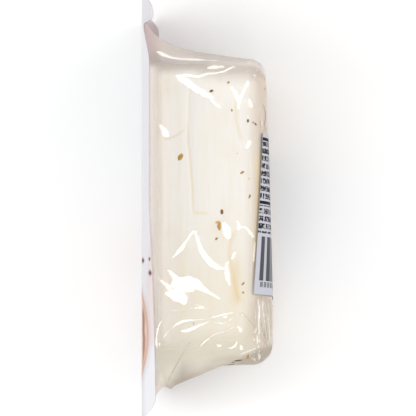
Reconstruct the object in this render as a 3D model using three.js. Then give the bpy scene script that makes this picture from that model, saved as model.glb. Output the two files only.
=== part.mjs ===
// A sealed pack of halloumi. A folded block of cheese sits under clear film that was formed to a pocket
// and drawn tight by vacuum. A flat printed film closes the front, and its flange stands out all round.
// A paper label is stuck on the back and wraps over one long edge.
//
// Millimetres. In the pack's own frame x is the depth behind the front face, y runs along the pack and
// z runs across it, from the long side that it lies on to the long side that shows. The pack lies on one
// long side, propped by its flange, so the whole group is turned about y by REST_TILT.
import * as THREE from "three";

// Front film, with its flange
const FRONT_REACH = { top: 63, bottom: 62.4, near: 41, far: 41 };
const FRONT_THICK = 0.4;
const FRONT_CORNERS = { top: 14, bottom: 9 };

// Clear film: a skirt sealed to the flange, and a pocket behind it
const SEAL_GAP = 0.3;
const SKIRT_THICK = 0.4;
const MOUTH_DEPTH = FRONT_THICK + SEAL_GAP + SKIRT_THICK;
const MOUTH_CORNER = 11;
const WALL_CORNER = 7.5;
const FACE_CORNER = 1.2;
const BACK_DEPTH = 38;
const BACK_CROWN = 1;
const BACK_SLOPE = 0.027;
const SOFTNESS = 2;

// Each wall of the pocket: how far it stands from the pack's middle at the back, how it leans out
// towards the mouth in front of leanFrom, how it flares at the mouth, and how round its back edge is.
const WALLS = {
  top: { stand: 44.75, lean: 0.141, leanFrom: 33, flare: 6.9, flareReach: 4.1, edge: 4.5 },
  bottom: { stand: 47.3, lean: 0.45, leanFrom: 23.5, flare: 0, flareReach: 4, edge: 6.2 },
  near: { stand: 31, lean: 0.06, leanFrom: 33, flare: 1.8, flareReach: 3, edge: 7.5 },
  far: { stand: 31, lean: 0.06, leanFrom: 33, flare: 1.8, flareReach: 3, edge: 6 },
};

// The flange is bent back along the two long sides, in degrees. On the side that shows it is bent more
// with every millimetre towards the bottom. On the other side the pack's weight has bent it further.
const BEND_RADIUS = 3;
const BENDS = {
  near: { bend: 27, growth: 0.55, fadeLength: 20 },
  far: { bend: 48, growth: 0, fadeLength: 17 },
};

// Folds in the film where it bridges from the block to the flange: both ends as [depth, along],
// a bow to one side, a half width and a lift. They lie on the long side that shows.
const FOLDS = [
  { from: [5, -38], to: [23, -30], bow: 3, width: 1.7, lift: 0.6 },
  { from: [8, -38], to: [26, -33], bow: 2.5, width: 1.7, lift: 0.6 },
  { from: [16, -43], to: [28, -35], bow: 1.5, width: 1.6, lift: 0.7 },
  { from: [9, -51], to: [16, -36], bow: 1, width: 1.8, lift: 0.8 },
  { from: [27, -33], to: [34, -43], bow: 1.5, width: 1.6, lift: 0.7 },
  { from: [9, -14], to: [16, -6], bow: -1, width: 2, lift: 0.5 },
  { from: [16, -6], to: [25, -18], bow: 1, width: 2, lift: 0.5 },
  { from: [9, 40], to: [23, 30], bow: -1, width: 2, lift: 0.6 },
  { from: [5, 45], to: [27, 45], bow: -1.5, width: 1.8, lift: 0.5 },
];
const FAR_FOLD_SHIFT = 9; // the folds on the hidden long side are the same, turned end for end

// Back label
const LABEL_LENGTH = 48.6;
const LABEL_WIDTH = 56;
const LABEL_THICK = 0.3;
const LABEL_GAP = 0.3;
const LABEL_MIDDLE = { along: -1.2, across: 4.6 };
const LABEL_TURN = THREE.MathUtils.degToRad(3);

// How the pack lies
const REST_TILT = THREE.MathUtils.degToRad(16);

// How finely the surfaces are divided
const LONG_STEPS = 30;
const END_STEPS = 14;
const CORNER_STEPS = 6;
const WALL_ROWS = 15;
const EDGE_ROWS = 5;
const BACK_ROWS = 6;
const FLANGE_SHARES = [0, 0.2, 0.4, 0.6, 0.8, 1];
const PANEL_SHARES = [0, 0.5];
const LABEL_STEPS = [18, 10];

const ROUND = ["far", "top", "near", "bottom"];
const FACING = { far: [0, -1], top: [1, 0], near: [0, 1], bottom: [-1, 0] };
const lerp = THREE.MathUtils.lerp;
const smoothstep = THREE.MathUtils.smoothstep;

const nextSide = (side) => ROUND[(ROUND.indexOf(side) + 1) % 4];
const lastSide = (side) => ROUND[(ROUND.indexOf(side) + 3) % 4];
const eachSide = (value) => Object.fromEntries(ROUND.map((side) => [side, value(side)]));

// The places round a rounded rectangle: a share of a straight side, or a turn into the next side.
// They start halfway along the far side.
function stationsRound() {
  const stations = [];
  const straight = (side, from, to, steps) => {
    for (let i = 0; i < steps; i++) stations.push({ side, share: lerp(from, to, i / steps), turn: 0 });
  };
  const corner = (side) => {
    for (let i = 0; i < CORNER_STEPS; i++)
      stations.push({ side, share: 1, turn: ((Math.PI / 2) * i) / CORNER_STEPS });
  };
  straight("far", 0.5, 1, LONG_STEPS / 2);
  corner("far");
  straight("top", 0, 1, END_STEPS);
  corner("top");
  straight("near", 0, 1, LONG_STEPS);
  corner("near");
  straight("bottom", 0, 1, END_STEPS);
  corner("bottom");
  straight("far", 0, 0.5, LONG_STEPS / 2);
  return [...stations, stations[0]];
}
const STATIONS = stationsRound();

// A value of each side as it is at a station, passing from side to side round the corners.
function atStation({ side, turn }, values) {
  return values[side] * Math.cos(turn) ** 2 + values[nextSide(side)] * Math.sin(turn) ** 2;
}

// The outward direction (y, z) at a station.
function facingAt({ side, turn }) {
  const [one, two] = [FACING[side], FACING[nextSide(side)]];
  return [0, 1].map((i) => one[i] * Math.cos(turn) + two[i] * Math.sin(turn));
}

// The point (y, z) at a station of a rounded rectangle, whose sides stand at reach from the middle.
// radius gives the corner between two neighbouring sides.
function onOutline(station, reach, radius) {
  const { side, share, turn } = station;
  const spot = (a, b) => {
    const r = radius(a, b);
    const centre = [0, 1].map((i) => FACING[a][i] * (reach[a] - r) + FACING[b][i] * (reach[b] - r));
    const [one, two] = [FACING[side], FACING[nextSide(side)]];
    return [0, 1].map((i) => centre[i] + r * (one[i] * Math.cos(turn) + two[i] * Math.sin(turn)));
  };
  const start = spot(lastSide(side), side);
  const end = spot(side, nextSide(side));
  return turn ? end : [0, 1].map((i) => lerp(start[i], end[i], share));
}

// A closed surface from rows of points, the first and last of which are single points. Row 0 is at the back.
function closedSurface(rows) {
  const across = STATIONS.length - 1;
  const geometry = new THREE.SphereGeometry(1, across, rows.length - 1);
  rows.forEach((row, i) =>
    STATIONS.forEach((station, j) => {
      geometry.attributes.position.setXYZ(i * (across + 1) + j, ...row(station));
    }),
  );
  geometry.computeVertexNormals();
  return geometry;
}

// A point of the sealed films, depth behind the flat front face, with the flange bent back: round
// BEND_RADIUS from the mouth of the pocket, then straight on.
function bentBack(depth, y, z) {
  const side = z > 0 ? "near" : "far";
  const { bend, growth, fadeLength } = BENDS[side];
  const root = wallReach(side, MOUTH_DEPTH);
  const out = Math.max(0, Math.abs(z) - root);
  const fade = smoothstep(FRONT_REACH.top - y, -2, fadeLength);
  const angle = THREE.MathUtils.degToRad((bend + growth * Math.max(0, -y)) * fade);
  const turned = Math.min(angle, out / BEND_RADIUS);
  const straight = out - turned * BEND_RADIUS;
  const inner = BEND_RADIUS - depth;
  return [
    BEND_RADIUS - inner * Math.cos(turned) + straight * Math.sin(turned),
    y,
    Math.sign(z) * (Math.min(Math.abs(z), root) + inner * Math.sin(turned) + straight * Math.cos(turned)),
  ];
}

// How far a wall of the pocket stands from the pack's middle at a depth.
function wallReach(side, depth) {
  const { stand, lean, leanFrom, flare, flareReach } = WALLS[side];
  const ahead = leanFrom - depth;
  const leaning = lean * 0.5 * (ahead + Math.hypot(ahead, SOFTNESS));
  return stand + leaning + flare * Math.exp((MOUTH_DEPTH - depth) / flareReach);
}

// The back is a little domed across, and deeper towards the bottom.
function settled(depth, y, z) {
  const dome = BACK_CROWN * (1 - (z / WALLS.near.stand) ** 2) - BACK_SLOPE * y;
  return [depth * (1 + dome / BACK_DEPTH), y, z];
}

// The lift of one fold at a place on its wall: a ridge along a bowed line that fades at both ends.
function foldLift({ from, to, bow, width, lift }, depth, along) {
  const run = [to[0] - from[0], to[1] - from[1]];
  const length = Math.hypot(...run);
  const away = [depth - from[0], along - from[1]];
  const share = (away[0] * run[0] + away[1] * run[1]) / length ** 2;
  if (share <= 0 || share >= 1) return 0;
  const off = (away[0] * run[1] - away[1] * run[0]) / length - bow * Math.sin(Math.PI * share);
  return lift * Math.sin(Math.PI * share) ** 0.5 * Math.exp(-((off / width) ** 2));
}

// The lift of all folds at a station of a wall.
function foldsAt(station, depth, y) {
  const nearness = atStation(station, { near: 1, far: 0, top: 0, bottom: 0 });
  const farness = atStation(station, { near: 0, far: 1, top: 0, bottom: 0 });
  const total = (along) => FOLDS.reduce((sum, fold) => sum + foldLift(fold, depth, along), 0);
  return nearness * total(y) + farness * total(-y - FAR_FOLD_SHIFT);
}

// A row of the flange: share 0 at the mouth of the pocket, share 1 at the cut edge.
function flangeRow(share, depth) {
  const reach = eachSide((side) => lerp(wallReach(side, MOUTH_DEPTH), FRONT_REACH[side], share));
  const radius = (a, b) => lerp(MOUTH_CORNER, FRONT_CORNERS[[a, b].includes("top") ? "top" : "bottom"], share);
  return (station) => bentBack(depth, ...onOutline(station, reach, radius));
}

// A row of the flat panel inside the mouth of the pocket, share 0 at its middle.
function panelRow(share, depth) {
  const reach = eachSide((side) => share * wallReach(side, MOUTH_DEPTH));
  return (station) => [depth, ...onOutline(station, reach, () => MOUTH_CORNER * share)];
}

function pouch() {
  const edgeDepth = eachSide((side) => BACK_DEPTH - WALLS[side].edge);

  const backRow = (share) => (station) => {
    const reach = eachSide((side) => share * (wallReach(side, edgeDepth[side]) - WALLS[side].edge));
    const [y, z] = onOutline(station, reach, () => FACE_CORNER * share);
    return settled(BACK_DEPTH, y, z);
  };

  const edgeRow = (rise) => (station) => {
    const tuck = 1 - Math.cos(rise);
    const reach = eachSide((side) => wallReach(side, edgeDepth[side]) - WALLS[side].edge * tuck);
    const depths = eachSide((side) => BACK_DEPTH - WALLS[side].edge * (1 - Math.sin(rise)));
    const [y, z] = onOutline(station, reach, () => lerp(WALL_CORNER, FACE_CORNER, tuck));
    return settled(atStation(station, depths), y, z);
  };

  const wallRow = (share) => (station) => {
    const towardsMouth = 1 - (1 - share) ** 1.3;
    const depths = eachSide((side) => lerp(edgeDepth[side], MOUTH_DEPTH, towardsMouth));
    const reach = eachSide((side) => wallReach(side, depths[side]));
    const radius = lerp(WALL_CORNER, MOUTH_CORNER, share ** 3);
    const [y, z] = onOutline(station, reach, () => radius);
    const depth = atStation(station, depths);
    const lift = foldsAt(station, depth, y) * Math.sin(Math.PI * share) ** 0.3;
    const facing = facingAt(station);
    return settled(depth, y + lift * facing[0], z + lift * facing[1]);
  };

  const faceDepth = MOUTH_DEPTH - SKIRT_THICK;
  const steps = (count) => Array.from({ length: count }, (_, i) => i / count);
  return closedSurface([
    ...steps(BACK_ROWS).map(backRow),
    ...steps(EDGE_ROWS).map((share) => edgeRow((Math.PI / 2) * (1 - share))),
    ...steps(WALL_ROWS).map(wallRow),
    ...FLANGE_SHARES.map((share) => flangeRow(share, MOUTH_DEPTH)),
    ...FLANGE_SHARES.toReversed().map((share) => flangeRow(share, faceDepth)),
    ...PANEL_SHARES.toReversed().map((share) => panelRow(share, faceDepth)),
  ]);
}

function frontFilm() {
  const face = (depth) => [
    ...PANEL_SHARES.map((share) => panelRow(share, depth)),
    ...FLANGE_SHARES.map((share) => flangeRow(share, depth)),
  ];
  return closedSurface([...face(FRONT_THICK), ...face(0).toReversed()]);
}

// A point on the back, run millimetres across it from the middle, with the way that it faces. Past the
// flat face the run goes on round the long edge.
function onBack(run, y) {
  const side = run > 0 ? "near" : "far";
  const { edge } = WALLS[side];
  const flat = wallReach(side, BACK_DEPTH - edge) - edge;
  const past = Math.max(0, Math.abs(run) - flat) / edge;
  const z = Math.sign(run) * (Math.min(Math.abs(run), flat) + edge * Math.sin(past));
  const point = new THREE.Vector3(...settled(BACK_DEPTH - edge * (1 - Math.cos(past)), y, z));
  const facing = new THREE.Vector3(Math.cos(past), 0, Math.sign(run) * Math.sin(past));
  return { point, facing };
}

function backLabel() {
  const geometry = new THREE.BoxGeometry(LABEL_WIDTH, LABEL_LENGTH, LABEL_THICK, ...LABEL_STEPS, 1);
  const { position } = geometry.attributes;
  const spot = new THREE.Vector3();
  for (let i = 0; i < position.count; i++) {
    spot.fromBufferAttribute(position, i);
    const lift = LABEL_GAP + LABEL_THICK / 2 - spot.z;
    spot.applyAxisAngle(new THREE.Vector3(0, 0, 1), LABEL_TURN);
    const { point, facing } = onBack(LABEL_MIDDLE.across + spot.x, LABEL_MIDDLE.along + spot.y);
    point.addScaledVector(facing, lift);
    position.setXYZ(i, point.x, point.y, point.z);
  }
  geometry.computeVertexNormals();
  return geometry;
}

function named(name, geometry, look) {
  const mesh = new THREE.Mesh(geometry, new THREE.MeshStandardMaterial(look));
  mesh.name = name;
  return mesh;
}

const lying = new THREE.Group();
lying.add(
  named("cheese_pouch", pouch(), { color: "#efe8dc", roughness: 0.2, metalness: 0 }),
  named("front_film", frontFilm(), { color: "#eaeaed", roughness: 0.35, metalness: 0 }),
  named("back_label", backLabel(), { color: "#e6e6eb", roughness: 0.6, metalness: 0 }),
);
lying.rotation.y = REST_TILT;

// The origin is on the surface that the pack lies on, under the middle of its box.
const box = new THREE.Box3().setFromObject(lying, true);
const middle = box.getCenter(new THREE.Vector3());
lying.position.set(-middle.x, -middle.y, -box.min.z);

const pack = new THREE.Group();
pack.add(lying);

export default pack;
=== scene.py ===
import math

import bpy
import numpy as np
from mathutils import Matrix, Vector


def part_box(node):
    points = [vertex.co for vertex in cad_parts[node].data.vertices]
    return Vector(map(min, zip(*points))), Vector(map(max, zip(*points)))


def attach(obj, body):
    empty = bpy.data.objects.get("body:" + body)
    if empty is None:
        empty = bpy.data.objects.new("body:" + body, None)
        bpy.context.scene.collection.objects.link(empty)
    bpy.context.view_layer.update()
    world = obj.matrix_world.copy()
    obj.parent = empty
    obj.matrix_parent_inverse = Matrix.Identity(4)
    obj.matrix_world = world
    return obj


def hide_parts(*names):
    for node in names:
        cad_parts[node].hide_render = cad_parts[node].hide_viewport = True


# A sealed pack of halloumi, lying on one long side with the other long side up.
# Sizes are millimetres in the pack's own frame: depth behind the front face, along the pack, across it.
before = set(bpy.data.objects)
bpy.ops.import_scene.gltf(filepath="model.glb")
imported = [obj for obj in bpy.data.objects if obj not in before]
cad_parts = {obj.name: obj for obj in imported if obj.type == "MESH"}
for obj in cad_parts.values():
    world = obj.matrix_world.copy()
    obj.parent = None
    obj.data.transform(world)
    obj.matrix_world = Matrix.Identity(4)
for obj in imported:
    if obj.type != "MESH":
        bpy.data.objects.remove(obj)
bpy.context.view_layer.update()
print("frame:", sorted(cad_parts))

restTilt = math.radians(16)
packAxes = np.array([
    [math.cos(restTilt), 0, math.sin(restTilt)],
    [0, 1, 0],
    [-math.sin(restTilt), 0, math.cos(restTilt)],
])
sideOrder = ["far", "top", "near", "bottom"]
facing = np.array([[0, -1], [1, 0], [0, 1], [-1, 0]], float)
seed = np.random.default_rng(7)


def linear(colour):
    # sRGB hex to the linear values that Blender works in
    parts = np.array([int(colour[i:i + 2], 16) / 255 for i in (1, 3, 5)])
    return np.where(parts <= 0.04045, parts / 12.92, ((parts + 0.055) / 1.055) ** 2.4)


def smooth(low, high, x):
    # 0 below low, 1 above high, an even S between
    t = np.clip((x - low) / (high - low), 0, 1)
    return t * t * (3 - 2 * t)


def perSide(table, key):
    # one value of each side, in the order of the sides
    return np.array([table[side][key] for side in sideOrder], float)


# Shared form of the pack

front = dict(
    reach=np.array([41, 63, 41, 62.4]),  # far, top, near, bottom
    thick=0.35,
    corners=np.array([3.5, 6, 7.2, 9]),  # far-top, top-near, near-bottom, bottom-far
    bendRadius=3,
    curlFrom=54.2,  # along the pack, where the last corner curls
    curlTo=56.4,
    cutFade=-2,  # beyond the top edge, where the turn would die away
    # degrees that a long flange turns back, more for each mm down, less towards the top, and in the curl
    far=dict(turn=52, lower=0, ease=22, easeFrom=49, easeTo=63, curl=0, fade=4.5),
    near=dict(turn=22.5, lower=0.67, ease=17, easeFrom=43, easeTo=54, curl=33, fade=0.5),
)
pocket = dict(
    mouthDepth=0.75,
    skirtThick=0.25,
    mouthCorner=np.array([11, 6, 8, 11]),
    wallCorner=np.array([7.5, 2, 3.5, 7.5]),  # far-top, top-near, near-bottom, bottom-far
    faceCorner=1.2,
    backDepth=38,
    backCrown=1,
    crownReach=31,
    backSlope=0.027,
    softness=2,
    rowCrowding=1.25,  # rows of a wall lie closer towards the mouth
    cornerGrowth=3,  # a wall's corner widens late, close to the mouth
    walls=dict(
        far=dict(stand=31, lean=0.06, leanFrom=33, flare=1.8, flareReach=3, edge=6),
        top=dict(stand=44.75, lean=0.141, leanFrom=33, flare=8.3, flareReach=4, edge=4.5),
        near=dict(stand=31, lean=0.06, leanFrom=33, flare=1.8, flareReach=3, edge=7.5),
        bottom=dict(stand=47.3, lean=0.45, leanFrom=23.5, flare=0, flareReach=4, edge=6.2,
                    folds=[(3.0, 1.2, 0.9), (6.1, 1.2, -1.1), (8.3, 1.0, 0.4)]),  # depth, width, height
    ),
)


def stationsRound(longSteps, endSteps, cornerSteps, nearSteps):
    # places round a rounded rectangle, from halfway along the far side: side, share of it, turn into the next
    parts = []
    half = longSteps // 2
    whole = [(side, 0, 1, steps) for side, steps in ((1, endSteps), (2, nearSteps), (3, endSteps))]
    runs = [(0, 0.5, 1, half), *whole, (0, 0, 0.5, half)]
    for side, start, stop, steps in runs:
        share = start + (stop - start) * np.arange(steps) / steps
        parts.append(np.stack([np.full(steps, side), share, np.zeros(steps)]))
        if stop == 1:
            turn = np.arange(cornerSteps) / cornerSteps * math.pi / 2
            parts.append(np.stack([np.full(cornerSteps, side), np.ones(cornerSteps), turn]))
    side, share, turn = np.concatenate(parts, 1)
    return side.astype(int), share, turn


def atStations(stations, values):
    # a value of each side passed round the corners by the squares of cosine and sine
    side, _, turn = stations
    return values[..., side] * np.cos(turn) ** 2 + values[..., (side + 1) % 4] * np.sin(turn) ** 2


def outward(stations):
    # the way out at each place, turned from one side's to the next by cosine and sine
    side, _, turn = stations
    return facing[side] * np.cos(turn)[:, None] + facing[(side + 1) % 4] * np.sin(turn)[:, None]


def outlines(stations, reach, radius):
    # rounded rectangles, one a row: corner centres stand in by the radius, and straights join the arcs
    side, share, turn = stations
    after = (np.arange(4) + 1) % 4
    centre = facing * (reach - radius)[..., None] + facing[after] * (reach[..., after] - radius)[..., None]
    way = outward(stations)
    before = (side + 3) % 4
    start = centre[:, before] + radius[:, before, None] * way
    end = centre[:, side] + radius[:, side, None] * way
    return np.where(turn[:, None] > 0, end, start + (end - start) * share[:, None])


def wallReach(walls, depth, mouth):
    # how far each wall stands out: a lean that starts softly, a flare that dies away from the mouth,
    # and bell-shaped folds across the bottom
    ahead = perSide(walls, "leanFrom") - depth
    lean = perSide(walls, "lean") * 0.5 * (ahead + np.hypot(ahead, pocket["softness"]))
    flare = perSide(walls, "flare") * np.exp((mouth - depth) / perSide(walls, "flareReach"))
    reach = perSide(walls, "stand") + lean + flare
    bottomDepth = np.broadcast_to(depth, reach.shape)[..., 3]
    for at, wide, high in walls["bottom"].get("folds", ()):
        reach[..., 3] += high * np.exp(-((bottomDepth - at) / wide) ** 2)
    return reach


def stretchAt(y, z):
    # how much deeper the pack is than drawn: domed across by a square, and deeper towards the bottom
    dome = pocket["backCrown"] * (1 - (z / pocket["crownReach"]) ** 2) - pocket["backSlope"] * y
    return 1 + dome / pocket["backDepth"]


def settled(depth, place):
    # a drawn depth and its place as a point of the domed pack
    return np.concatenate([(depth * stretchAt(place[..., 0], place[..., 1]))[..., None], place], -1)


def mouthReach():
    # how far each wall stands out at the mouth
    return wallReach(pocket["walls"], np.full(4, pocket["mouthDepth"]), pocket["mouthDepth"])


def turnedBack(side, y):
    # a long flange's turn, in radians: more at the bottom, less at the top, with a curl in its last corner
    turn = side["turn"] + side["lower"] * np.maximum(0, -y)
    turn = turn - side["ease"] * smooth(side["easeFrom"], side["easeTo"], y)
    turn = turn + side["curl"] * smooth(front["curlFrom"], front["curlTo"], y)
    return np.radians(turn) * smooth(front["cutFade"], side["fade"], front["reach"][1] - y)


def bentBack(depth, place):
    # the flange turns back round the bend's radius beyond the mouth of the pocket, then runs straight
    y, z = place[..., 0], place[..., 1]
    root = mouthReach()[2]
    out = np.maximum(0, np.abs(z) - root)
    angle = np.where(z > 0, turnedBack(front["near"], y), turnedBack(front["far"], y))
    turned = np.minimum(angle, out / front["bendRadius"])
    straight = out - turned * front["bendRadius"]
    inner = front["bendRadius"] - depth
    return np.stack([
        front["bendRadius"] - inner * np.cos(turned) + straight * np.sin(turned),
        y,
        np.sign(z) * (np.minimum(np.abs(z), root) + inner * np.sin(turned) + straight * np.cos(turned)),
    ], -1)


def flangeRows(stations, shares, depth):
    # rows of the sealed flange, from the mouth of the pocket to the cut edge
    shares = np.asarray(shares)[:, None]
    reach = mouthReach() + (front["reach"] - mouthReach()) * shares
    radius = pocket["mouthCorner"] + (front["corners"] - pocket["mouthCorner"]) * shares
    return bentBack(depth, outlines(stations, reach, radius))


def panelRows(stations, shares, depth):
    # rows of the flat panel inside the mouth, from its middle outwards
    shares = np.asarray(shares)[:, None]
    place = outlines(stations, mouthReach() * shares, pocket["mouthCorner"] * shares)
    return np.concatenate([np.full(place.shape[:2] + (1,), depth), place], -1)


def pocketRows(stations, walls, corner, piece, frontDepth):
    # rows from the middle of the back, over its rounded edge and down the walls, as many as the piece asks
    backRows, edgeRows, wallRows = piece["backRows"], piece["edgeRows"], piece["wallRows"]
    edge = perSide(walls, "edge")
    edgeDepth = pocket["backDepth"] - edge
    edgeReach = wallReach(walls, edgeDepth, pocket["mouthDepth"])
    share = np.arange(backRows)[:, None] / backRows
    faceCorner = np.full((backRows, 4), pocket["faceCorner"]) * share
    face = outlines(stations, share * (edgeReach - edge), faceCorner)
    back = settled(np.full(face.shape[:2], pocket["backDepth"]), face)
    rise = (math.pi / 2 * (1 - np.arange(edgeRows) / edgeRows))[:, None]
    tuck = 1 - np.cos(rise)
    radius = corner + (pocket["faceCorner"] - corner) * tuck
    rim = outlines(stations, edgeReach - edge * tuck, radius)
    over = settled(atStations(stations, pocket["backDepth"] - edge * (1 - np.sin(rise))), rim)
    share = np.arange(wallRows)[:, None] / wallRows
    depth = edgeDepth + (frontDepth - edgeDepth) * (1 - (1 - share) ** pocket["rowCrowding"])
    reach = np.stack([wallReach(walls, row, pocket["mouthDepth"]) for row in depth])
    radius = corner + (pocket["mouthCorner"] - corner) * share ** pocket["cornerGrowth"]
    down = settled(atStations(stations, depth), outlines(stations, reach, radius))
    return np.concatenate([back, over, down])


def normalsOf(rows):
    # outward normals of a grid whose rows run from the back to the front
    across = np.roll(rows, -1, 1) - np.roll(rows, 1, 1)
    along = np.gradient(rows, axis=0)
    normal = np.cross(along, across)
    length = np.linalg.norm(normal, axis=-1, keepdims=True)
    return normal / np.maximum(length, 1e-9)


def closedFaces(rowCount, around):
    # quads between neighbouring rows, and a fan of triangles to the single point at each end
    grid = np.arange(1, 1 + (rowCount - 2) * around).reshape(rowCount - 2, around)
    turned = np.roll(grid, -1, 1)
    quads = np.stack([grid[:-1], grid[1:], turned[1:], turned[:-1]], -1).reshape(-1, 4)
    last = grid[-1].max() + 1
    first = np.stack([np.zeros(around, int), grid[0], turned[0]], -1)
    final = np.stack([np.full(around, last), turned[-1], grid[-1]], -1)
    return first.tolist() + quads.tolist() + final.tolist()


def closedPoints(rows):
    # a grid's points or colours, with its first and last row as one each
    return np.concatenate([rows[:1, 0], rows[1:-1].reshape(-1, rows.shape[-1]), rows[-1:, 0]])


def closedValues(values):
    # the same for single numbers
    return np.concatenate([values[:1, 0], values[1:-1].reshape(-1), values[-1:, 0]])


def closedSheet(outer, under):
    # two grids of points, an outer face and the one under it, joined round their border
    points = np.concatenate([outer.reshape(-1, 3), under.reshape(-1, 3)])
    ids = np.arange(outer.shape[0] * outer.shape[1]).reshape(outer.shape[:2])
    top = np.stack([ids[:-1, :-1], ids[:-1, 1:], ids[1:, 1:], ids[1:, :-1]], -1).reshape(-1, 4)
    loop = np.concatenate([ids[0, :-1], ids[:-1, -1], ids[-1, :0:-1], ids[:0:-1, 0]])
    after = np.roll(loop, -1)
    rim = np.stack([after, loop, loop + ids.size, after + ids.size], -1)
    return points, np.concatenate([top, top[:, ::-1] + ids.size, rim])


def inFrame(points):
    # millimetres of the pack turned to its rest and set down, in metres
    return points @ packAxes.T / 1000 + packPlace


def makePiece(name, points, faces, material, replaces=(), slot=None, **attributes):
    # a mesh in the shared frame, riding the one body
    mesh = bpy.data.meshes.new(name)
    mesh.from_pydata(inFrame(points).tolist(), [], faces)
    for key, values in attributes.items():
        values = np.asarray(values, np.float32)
        domain = "POINT" if len(values) == len(points) else "CORNER"
        if values.ndim == 1:
            mesh.attributes.new(key, "FLOAT", domain).data.foreach_set("value", values)
        else:
            full = np.concatenate([values, np.ones((len(values), 1), np.float32)], 1)
            mesh.attributes.new(key, "FLOAT_COLOR", domain).data.foreach_set("color", full.ravel())
    mesh.shade_smooth()
    mesh.materials.append(material)
    piece = bpy.data.objects.new(name, mesh)
    bpy.context.scene.collection.objects.link(piece)
    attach(piece, "root")
    if replaces:
        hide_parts(*replaces)
    print(name, len(points), "points")


def newMaterial(name):
    # an empty material and its nodes
    material = bpy.data.materials.new(name)
    material.use_nodes = True
    material.node_tree.nodes.clear()
    return material, material.node_tree


def addNode(tree, kind, inputs=None, **settings):
    # one node with its settings; an input is a value or another node's output
    node = tree.nodes.new("ShaderNode" + kind)
    for key, value in settings.items():
        setattr(node, key, value)
    for key, value in (inputs or {}).items():
        if isinstance(value, bpy.types.NodeSocket):
            tree.links.new(value, node.inputs[key])
        else:
            node.inputs[key].default_value = value
    return node


def rgba(colour):
    # a colour as a node's socket takes it
    return (*linear(colour), 1)


def laidTones(piece, base, shares):
    # a piece's base colour with its other colours laid over it in turn, each by its share
    tone = np.broadcast_to(linear(piece[base]), shares[next(iter(shares))].shape + (3,)).copy()
    for name, share in shares.items():
        tone += (linear(piece[name]) - tone) * share[..., None]
    return tone


def within(zone, depth, along):
    # the zone's most times even steps, each from 0 at its first place to 1 at its second
    share = np.full_like(depth, zone.get("most", 1))
    for step in zone.get("depth", ()):
        share = share * smooth(*step, depth)
    for step in zone.get("along", ()):
        share = share * smooth(*step, along)
    return share


# Printed front film

# satin white with flat inks
frontMaterial, tree = newMaterial("printed film, reverse printed and laminated")
ink = addNode(tree, "Attribute", attribute_name="ink")
satin = {"Base Color": ink.outputs["Color"], "Roughness": 0.34, "IOR": 1.45}
shader = addNode(tree, "BsdfPrincipled", satin)
addNode(tree, "OutputMaterial", {"Surface": shader.outputs[0]})

frontLook = dict(
    rows=210,
    endRows=24,
    endLength=9,  # of the finer rows at each end
    columns=(124, 40),
    fineFrom=33,  # across, where the finer columns start
    sealCorner=9,
    sealFade=3.4,
    panelBox=((12, -29), (46, 27)),  # along and across, from corner to corner
    panelCorner=6,
    frameInset=2.2,
    frameHalf=0.35,
    borderLap=0.6,  # the rosy border starts this far outside the edge
    borderGrowth=3.6,  # and is wider by this lower down
    borderEnd=-41,  # along the pack
    barHalf=0.65,
    crustWide=0.9,
    white="#dadade",
    border="#dccfcd",
    # painted shade on the film's back: grey where sealed, darker mauve towards the mouth
    mouthShade="#8f6f78",
    sealShade="#bca9ad",
    panel="#8fa9a6",
    frame="#dfe6e3",
    slice="#dfc6ba",
    crust="#c6a08a",
    bar="#8a4636",
    tomato="#c4503a",
    flesh="#de8468",
    leaf="#6f8d4c",
    rib="#a9bd86",
    shade="#b9a6a4",
    speck="#6a3a2c",
    slices=[  # place along and across, half length and width, lean, step between grill bars, first bar
        (-44, -19, 14, 17, -0.5, 6, 2),
        (-37.5, 14, 26, 24.9, 0, 6.3, 0.75),
    ],
    tomatoes=[(-14.5, -28, 8), (-26, -17, 6)],  # place and radius
    leaves=[(-6, -4, 11, 0.7), (-9, 9, 12, -0.5), (-16, -9, 9, 1.7), (-56, -2, 10, 0.2)],  # length, turn
    specks=[(-15.6, 36.4, 0.8), (-15.0, 40.2, 0.55), (-19.2, 40.2, 0.8), (-8, 22, 0.7), (-3, -21, 0.6),
            (0, 14, 0.5)],
)


def roundedGap(y, z, low, high, radius):
    # distance outside a rectangle with rounded corners, negative inside
    middle, half = (np.array(low) + high) / 2, (np.array(high) - low) / 2
    past = np.stack([abs(y - middle[0]), abs(z - middle[1])], -1) - half + radius
    return np.linalg.norm(np.maximum(past, 0), axis=-1) + np.minimum(past.max(-1), 0) - radius


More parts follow.
